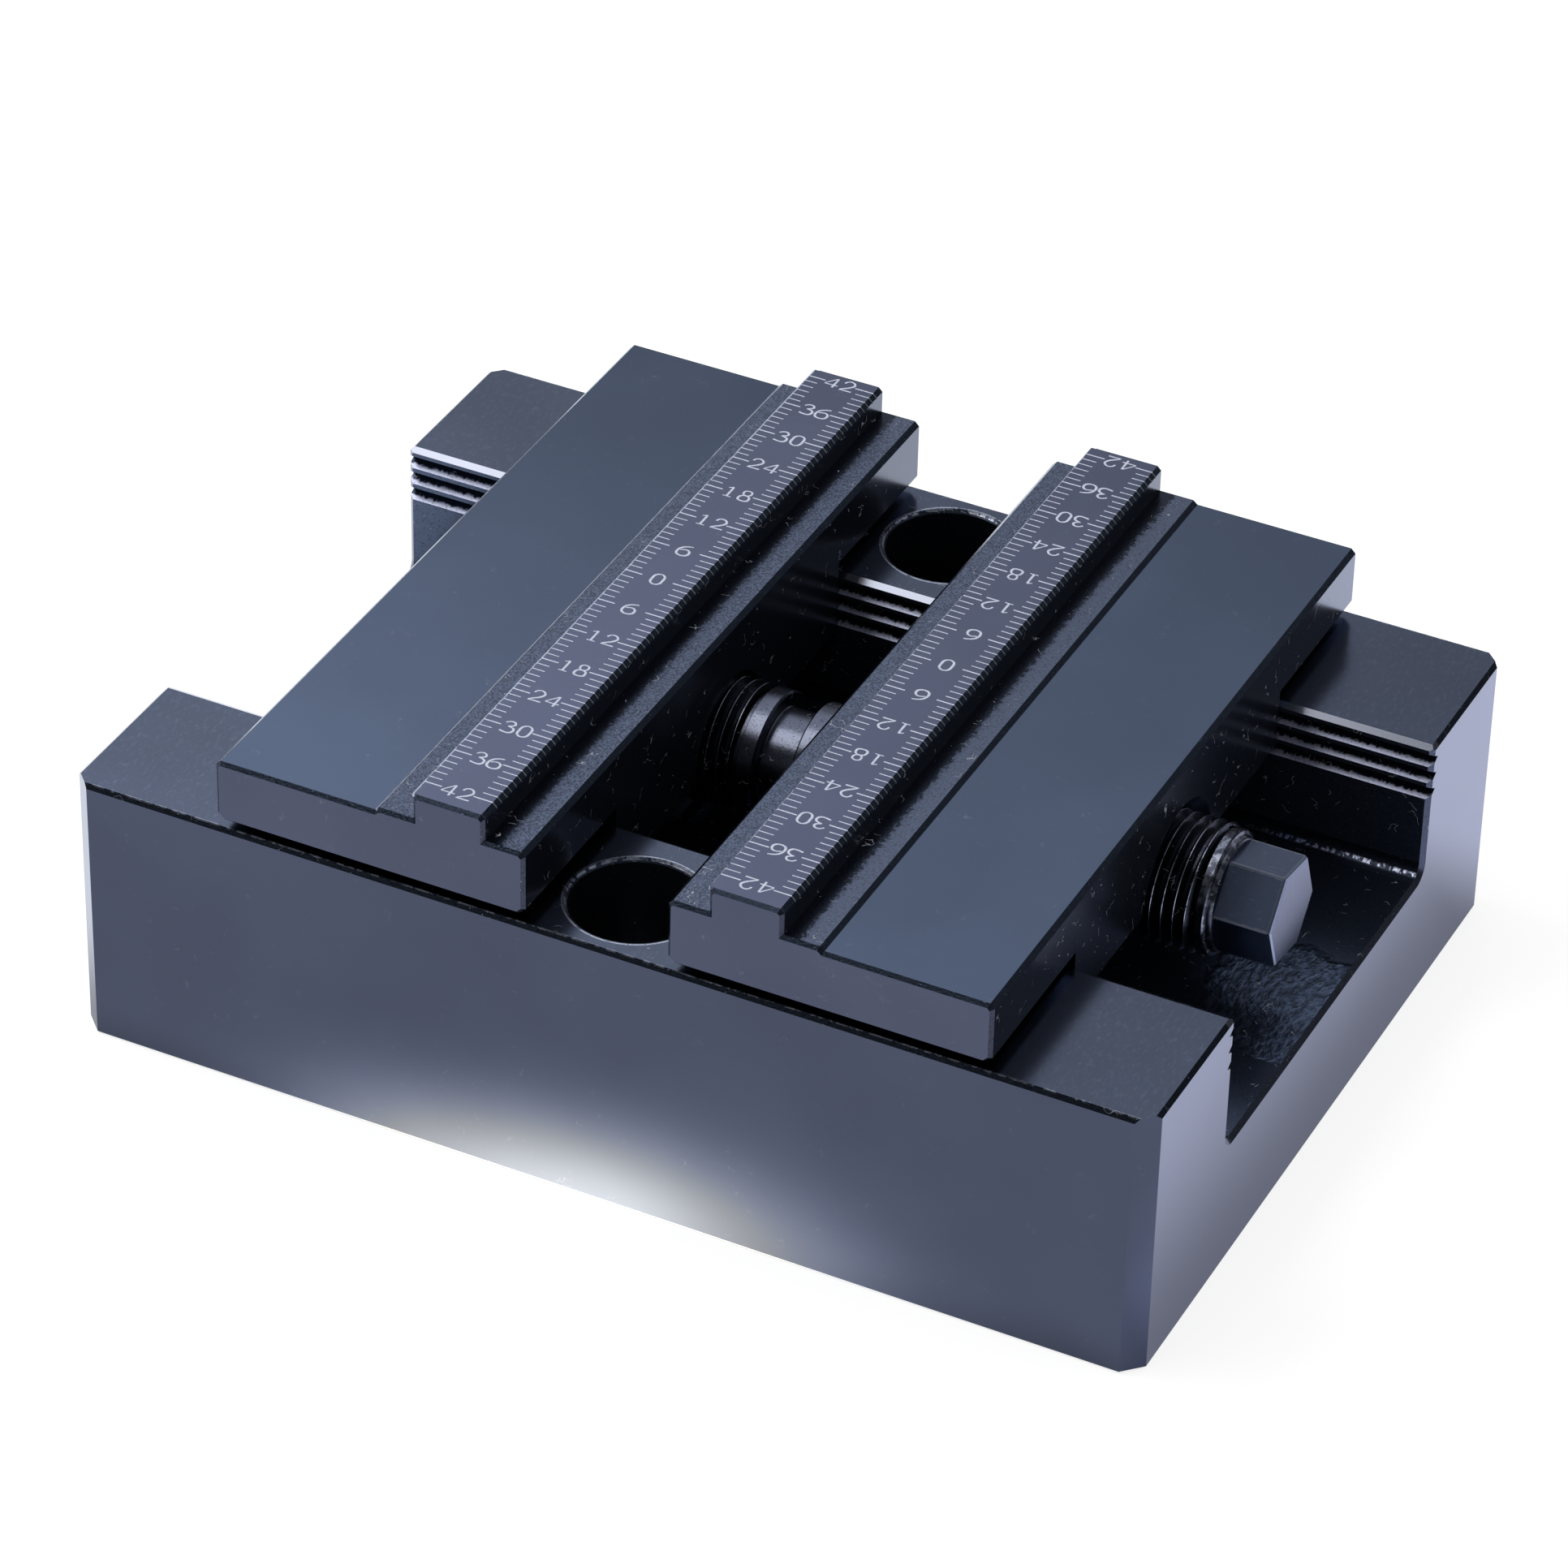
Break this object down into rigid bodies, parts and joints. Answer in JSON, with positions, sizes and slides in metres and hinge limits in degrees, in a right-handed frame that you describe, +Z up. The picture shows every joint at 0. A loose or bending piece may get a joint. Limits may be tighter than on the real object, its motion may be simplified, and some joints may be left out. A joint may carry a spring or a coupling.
{
  "type": "self-centering vise",
  "caption": "Low self-centering vise: stepped jaws with engraved ruler ribs slide on the vee guideways of a flat steel base, drawn together by a two-handed lead screw with a hexagonal end.",
  "frame": {"origin": "centre of the base's underside, below the middle of the lead screw's neck", "axes": "+X along the lead screw towards its hexagonal end, +Y along the jaws away from the viewer in the picture, +Z up"},
  "size_m": [0.1184, 0.0886, 0.0424],
  "materials": {
    "base_steel": "ground, black-oxide blue-grey, satin",
    "jaw_steel": "ground, black-oxide blue-grey, satin",
    "screw_steel": "turned, black-oxide, worn bright on the crests",
    "retainer_steel": "milled, black-oxide",
    "fastener_steel": "black-oxide",
    "pin_steel": "ground and polished"
  },
  "bodies": {
    "base": {"base_body": "base_steel", "screw_retainer": "retainer_steel", "retainer_screws": "fastener_steel", "locating_pins": "pin_steel"},
    "screw": {"lead_screw": "screw_steel"},
    "left_jaw": {"left_jaw": "jaw_steel"},
    "right_jaw": {"right_jaw": "jaw_steel"}
  },
  "joints": [
    {"name": "right_jaw_slide", "type": "slide", "parent": "base", "child": "right_jaw", "axis": [1, 0, 0], "range_m": [-0.0074, 0.012]},
    {"name": "left_jaw_slide", "type": "slide", "parent": "base", "child": "left_jaw", "axis": [-1, 0, 0], "range_m": [-0.0074, 0.012]},
    {"name": "screw_spin", "type": "hinge", "parent": "base", "child": "screw", "pos_m": [0, 0, 0.0255], "axis": [1, 0, 0], "range_deg": [-2131.5, 3456.5]}
  ],
  "couplings": [
    {"joint": "screw_spin", "follows": "right_jaw_slide", "rad_per_m": 5026.6},
    {"joint": "left_jaw_slide", "follows": "right_jaw_slide", "ratio": 1}
  ]
}
